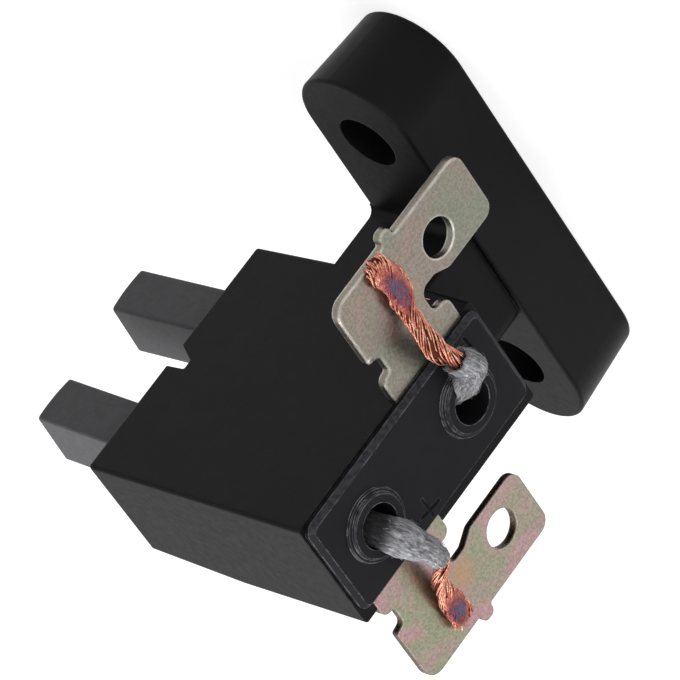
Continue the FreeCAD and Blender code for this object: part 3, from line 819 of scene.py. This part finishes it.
def lay_strands(line, stations, rings, strand_r, wander):
    """The mesh of every strand. A ring is a count and its share of the rope's radius."""
    strands = wire_curve("strands", strand_r)
    frames = frames_along(line)
    for rope, (count, share) in [(r, ring) for r in range(ropes) for ring in rings]:
        in_rope = (1 - rope_share) * share
        for j in range(count):
            phase = math.tau * j / count + chance.uniform(-0.2, 0.2)
            seed = Vector((chance.uniform(0, 90), chance.uniform(0, 90), 0))
            short = chance.randint(0, 3)
            points, along, before = [], 0.0, line[0]
            for at, _, side, up in frames[:len(frames) - short]:
                along += (at - before).length
                before = at
                wide, thick = half_widths(stations, along)
                rope_angle = math.tau * (rope / ropes + along / twist)
                angle = phase + inner_twist * math.tau * along / twist
                drift = noise.noise_vector(seed + Vector((0, 0, along * 0.8))) * wander
                across = rope_share * math.cos(rope_angle) + in_rope * math.cos(angle)
                over = rope_share * math.sin(rope_angle) + in_rope * math.sin(angle)
                u = wide * across + drift.x
                v = thick * (over + drift.y / wide)
                points.append((at + side * u + up * v) * mm)
            add_wire(strands, points, [1.0 + 0.2 * math.sin(phase * 7)] * len(points))
    return curve_as_bmesh(strands)


# %% [markdown]
# A solid body along a line starts as a ring that is extruded from point to point. The dark core
# that paints the shade between the strands and the lump of a weld are such bodies, and so is the
# sleeve.
# %% Bodies along a line
blunt_end = 0.3
core_lumps = ((1.0, 1.9), (0.6, 4.7))


def ring_place(at, ahead, across, up):
    """Where a unit circle goes: a point in millimetres and its two half widths."""
    turned = Matrix(((*across, 0), (*up, 0), (*ahead, 0), (0, 0, 0, 1))).transposed()
    return Matrix.Translation(at * mm) @ Matrix.Scale(mm, 4) @ turned


def grow_ring(made, edges, move):
    """The next ring of an extruded tube: its vertices and its edges."""
    grown = bmesh.ops.extrude_edge_only(made, edges=edges)["geom"]
    ring = [g for g in grown if isinstance(g, bmesh.types.BMVert)]
    edges = [g for g in grown if isinstance(g, bmesh.types.BMEdge)]
    bmesh.ops.transform(made, matrix=move, verts=ring)
    return ring, [e for e in edges if all(v in ring for v in e.verts)]


def lump_at(at, sizes):
    """A sum of noises at a point in millimetres, each with its height and its frequency."""
    return sum(height * noise.noise(at * often) for height, often in sizes)


def pressed_core(line, stations, start, stop, fill, lumps, segments=14):
    """A closed body along part of the line: its share of each half width, made lumpy."""
    made = bmesh.new()
    along = 0.0
    edges, last = None, None
    for i, (at, ahead, side, up) in enumerate(frames_along(line)):
        along += (at - line[max(i - 1, 0)]).length
        if not start <= along <= stop:
            continue
        wide, thick = half_widths(stations, along)
        share = (along - start) / (stop - start)
        size = max((1 - abs(2 * share - 1) ** 6) ** 0.5, blunt_end)
        place = ring_place(at, ahead, side * wide * fill[0] * size, up * thick * fill[1] * size)
        if edges is None:
            bmesh.ops.create_circle(
                made, cap_ends=True, radius=1.0, segments=segments, matrix=place)
            edges = list(made.edges)
        else:
            _, edges = grow_ring(made, edges, place @ last.inverted())
        last = place
    bmesh.ops.contextual_create(made, geom=edges)
    bmesh.ops.recalc_face_normals(made, faces=made.faces)
    made.normal_update()
    shifts = [v.normal * lump_at(v.co / mm, core_lumps) * lumps * mm for v in made.verts]
    for vert, shift in zip(made.verts, shifts):
        vert.co += shift
    return made


# %% [markdown]
# The negative lead leaves the upper collar inside its sleeve, crosses to the terminal's wing and
# is folded round the wing's outer edge. The positive lead makes a loop and ends in a drop-shaped
# weld on its wing. The heights keep both on their plates. A dark body in each lead is painted
# shade that closes the gaps between its strands, and a lumpy one is its weld.
# %% The two pigtails
lead_line = {
    "negative": [
        (5.9, -1.5, 20.4), (8.8, -1.0, 20.6), (10.6, -0.75, 20.5), (11.7, 0.2, 20.0),
        (12.8, 1.3, 19.35), (13.1, 2.2, 19.3), (13.1, 3.1, 19.8), (12.95, 4.3, 20.4),
        (12.6, 5.7, 20.8), (12.0, 7.2, 20.75), (11.4, 8.6, 20.3), (11.0, 10.05, 19.92),
        (10.85, 11.46, 19.66), (10.8, 13.03, 19.7), (10.8, 14.2, 19.9), (10.55, 14.9, 20.05),
        (10.25, 15.0, 20.1), (10.05, 15.0, 20.1),
    ],
    "positive": [
        (5.9, -1.6, 33.9), (8.8, -1.7, 34.0), (10.6, -2.0, 33.9), (11.9, -3.1, 33.3),
        (12.8, -4.75, 32.7), (13.1, -6.2, 32.0), (12.9, -7.5, 31.6), (12.5, -8.6, 31.4),
        (12.15, -9.5, 31.85), (11.8, -10.3, 32.3), (11.4, -11.2, 32.35), (11.0, -12.5, 32.15),
        (10.85, -14.2, 32.05), (10.8, -16.6, 32.2),
    ],
}
lead_section = {
    "negative": [(0, 0.7, 0.7), (10.5, 0.75, 0.7), (13.1, 1.12, 0.75), (15.3, 0.84, 0.62),
                 (16.4, 0.95, 0.55), (18.4, 1.42, 0.48), (21.0, 1.45, 0.45),
                 (22.4, 1.25, 0.36), (24.5, 1.15, 0.28)],
    "positive": [(0, 0.7, 0.7), (12.5, 0.75, 0.65), (14.5, 0.66, 0.6), (16.0, 0.9, 0.55),
                 (17.6, 1.2, 0.52), (19.3, 1.42, 0.48), (20.6, 1.36, 0.45), (21.2, 1.1, 0.4)],
}
weld_from_to = {"negative": (16.6, 22.0), "positive": (16.9, 21.1)}
strand_rings = [(5, 0.45), (10, 0.92)]
core_fill, weld_fill = (0.74, 0.74), (0.86, 1.12)


def pigtail(side):
    line = smooth_line([Vector(p) for p in lead_line[side]])
    stations = lead_section[side]
    length = sum((b - a).length for a, b in zip(line, line[1:]))
    strands = lay_strands(line, stations, strand_rings, strand_r=0.085, wander=0.1)
    shade_body = pressed_core(line, stations, 0.0, length, core_fill, lumps=0.0)
    start, stop = weld_from_to[side]
    nugget = pressed_core(line, stations, start, stop, weld_fill, lumps=0.16, segments=30)
    bodies = {
        "strands": (strands, copper), "core": (shade_body, copper_shade), "weld": (nugget, copper_weld),
    }
    for name, (made, look) in bodies.items():
        thing = piece("pigtail_" + name + "_" + side, made, look)
        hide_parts("pigtail_" + side)
        print(thing.name, len(thing.data.polygons), "faces")
    return length


print("leads, mm:", [round(pigtail(side), 1) for side in ("negative", "positive")])

# %% [markdown]
# One strand broke off the negative lead when it was welded. It is caught behind the
# terminal and sticks out a little in its notch, so it is a short bent wire.
# %% A stray strand
stray_bends = [(9.9, 8.6, 18.15), (10.2, 8.15, 17.95), (10.3, 7.85, 17.7), (10.3, 7.55, 17.5)]
stray_curve = wire_curve("stray", radius=0.045)
add_wire(stray_curve, [Vector(at) * mm for at in stray_bends])
stray = piece("pigtail_stray_negative", curve_as_bmesh(stray_curve), copper)
print("stray strand:", len(stray.data.polygons), "faces")

# %% [markdown]
# Inside the guide the same lead runs through the coil to the brush, in which it is tamped. Nobody
# sees it unless the cover is off, so fewer strands are enough. It is a piece of its own; on the
# real holder this stretch shortens as the brush slides in.
# %% The hidden stretch of each pigtail
inside_z = {"negative": (19.9, 20.4), "positive": (33.05, 33.9)}
for side in ("negative", "positive"):
    low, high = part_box("pigtail_" + side)
    first_z, last_z = inside_z[side]
    inner_line = smooth_line([
        Vector((low.x / mm, -1.65, first_z)),
        Vector((low.x / mm + 6.3, -1.65, first_z + 6.3 * slide_axis[side][2])),
        Vector((-2.0, -1.3, (first_z + last_z) / 2)),
        Vector((3.0, -1.6, last_z)), Vector((6.1, -1.6, last_z)),
    ], 0.5)
    made = lay_strands(inner_line, [(0, 0.66, 0.66), (40, 0.66, 0.66)], [(3, 0.4), (6, 0.9)],
                       strand_r=0.12, wander=0.02)
    inner = piece("pigtail_inside_" + side, made, copper)
    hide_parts("pigtail_" + side)
    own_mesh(inner)


# %% [markdown]
# A felted fabric sleeve keeps the lead from chafing on the cover. It is a soft tube with
# an uneven wall that is squeezed flatter in places and cut off raggedly. One ring is
# extruded from station to station, turned in at the open end, and then made lumpy.
# %% The fabric sleeves
sleeve_line = {
    "negative": [(6.6, -1.4, 20.45), (8.8, -1.0, 20.6), (10.6, -0.75, 20.5), (11.7, 0.2, 20.0),
                 (12.8, 1.3, 19.35), (13.1, 2.2, 19.3), (13.1, 3.1, 19.8), (12.95, 3.7, 20.1)],
    "positive": [(6.6, -1.6, 33.95), (8.8, -1.7, 34.0), (10.6, -2.0, 33.9), (11.9, -3.1, 33.3),
                 (12.8, -4.75, 32.75), (13.1, -6.25, 32.05), (12.85, -7.6, 31.6),
                 (12.5, -8.15, 31.45)],
}
sleeve_section = {
    "negative": [(0, 1.0, 1.0), (4.0, 1.0, 1.0), (6.0, 1.18, 1.1), (7.6, 1.3, 1.2),
                 (9.0, 1.25, 1.15), (10.4, 1.1, 1.05)],
    "positive": [(0, 1.2, 1.2), (4.5, 1.5, 1.35), (6.6, 1.6, 1.45), (8.2, 1.3, 1.2),
                 (9.6, 1.04, 1.0), (11.4, 0.88, 0.86)],
}
# How far the negative sleeve's threads map, and with it the painted shade at the guide, is shifted
# along.
shade_shift = {"negative": 0.3, "positive": 0.0}
end_slant = {"negative": 0.25, "positive": 0.5}
turned_in = {-1: 0.12, -2: 0.3, -4: 0.34, -7: 0.34}
lining_step = 0.3
uv_length = 6.0
ragged_stretch, raggedness = 2.5, 0.22
sleeve_lumps = ((0.16, 0.75), (0.07, 2.3), (0.035, 6.0))


def sleeve(side):
    """The tube out along the frames, then its turned-in end, with two measures per vertex."""
    line = smooth_line([Vector(p) for p in sleeve_line[side]], 0.3)
    frames = frames_along(line)
    made = bmesh.new()
    along_layer = made.verts.layers.float.new("along")
    round_layer = made.verts.layers.float.new("round")
    edges, last, along = None, None, 0.0
    for step, i in enumerate(list(range(len(frames))) + list(turned_in)):
        at, ahead, aside, up = frames[i]
        if 0 < i:
            along += (at - frames[i - 1][0]).length
        wide, thick = half_widths(sleeve_section[side], along)
        thinner = turned_in.get(i, 0.0)
        place = ring_place(at, ahead, aside * (wide - thinner), up * (thick - thinner))
        if edges is None:
            ring = bmesh.ops.create_circle(
                made, cap_ends=False, radius=1.0, segments=40, matrix=place)["verts"]
            edges = list(made.edges)
            for vert in ring:
                in_ring = place.inverted() @ vert.co
                vert[round_layer] = math.atan2(in_ring.y, in_ring.x) / math.tau % 1.0
        else:
            ring, edges = grow_ring(made, edges, place @ last.inverted())
        inside = max(0, step - len(frames) + 1)
        for vert in ring:
            vert[along_layer] = along + lining_step * inside
        last = place
    return made, frames, along, along_layer, round_layer


def ruffle(made, frames, length, along_layer, round_layer, side):
    """Uneven felt: slow lumps all over, a slanting cut and a few tufts at the open end."""
    made.normal_update()
    shifts = {}
    for vert in made.verts:
        at = vert.co / mm
        near_end = eased(vert[along_layer], length - ragged_stretch, length)
        slant = end_slant[side] * math.cos(vert[round_layer] * math.tau + 0.8) * near_end
        ragged = raggedness * near_end * noise.noise(at * 3.1)
        outward = vert.normal if vert[along_layer] <= length else -vert.normal
        lump = outward * lump_at(at, sleeve_lumps)
        shifts[vert] = (lump + frames[-1][1] * (slant + ragged)) * mm
    for vert, shift in shifts.items():
        vert.co += shift
    threads = made.loops.layers.uv.new("threads")
    for face in made.faces:
        turns = [loop.vert[round_layer] for loop in face.loops]
        over_seam = max(turns) - min(turns) > 0.5
        for loop in face.loops:
            turn = loop.vert[round_layer]
            if over_seam and turn < 0.5:
                turn += 1.0
            loop[threads].uv = (turn, loop.vert[along_layer] / uv_length + shade_shift[side])


sleeves = {}
for side in ("negative", "positive"):
    made, frames, length, along_layer, round_layer = sleeve(side)
    ruffle(made, frames, length, along_layer, round_layer, side)
    sleeves[side] = piece("sleeve_felt_" + side, made, sleeve_cloth)
    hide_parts("sleeve_" + side)
    print("sleeve", side, round(length, 1), "mm,", len(sleeves[side].data.polygons), "faces")


# %% [markdown]
# Felt sheds fine fibres. A few hundred short curved hairs stand on each sleeve, only on the
# stretch that is well out of the cover, each with only a few faces.
# %% Loose fibres
hair_points = 4
hair_radius, hair_kink = 0.014, 0.03
hair_uv = (0.3, 1.6)
bare_below = 12.1 * mm


def any_way():
    return Vector((chance.uniform(-1, 1), chance.uniform(-1, 1), chance.uniform(-1, 1)))


def fibres(side, count):
    body = sleeves[side].data
    hairs = wire_curve("hairs", hair_radius, 0, False)
    seen = [f for f in body.polygons if f.center.x > bare_below]
    for _ in range(count):
        face = chance.choice(seen)
        tip = any_way()
        tip = (tip - face.normal * tip.dot(face.normal)).normalized()
        reach = chance.uniform(0.2, 0.6) * mm
        shares = [i / (hair_points - 1) for i in range(hair_points)]
        points = []
        for share in shares:
            rise = 0.2 * math.sin(share * math.pi) + 0.05
            at = face.center + tip * reach * share + face.normal * reach * rise
            points.append(at + any_way() * hair_kink * mm)
        add_wire(hairs, points, [1.0 - 0.5 * share for share in shares])
    made = curve_as_bmesh(hairs)
    threads = made.loops.layers.uv.new("threads")
    for face in made.faces:
        for loop in face.loops:
            loop[threads].uv = hair_uv
    return piece("sleeve_fibres_" + side, made, sleeve_cloth)


for side, count in (("negative", 260), ("positive", 340)):
    print("fibres", side, len(fibres(side, count).data.polygons), "faces")
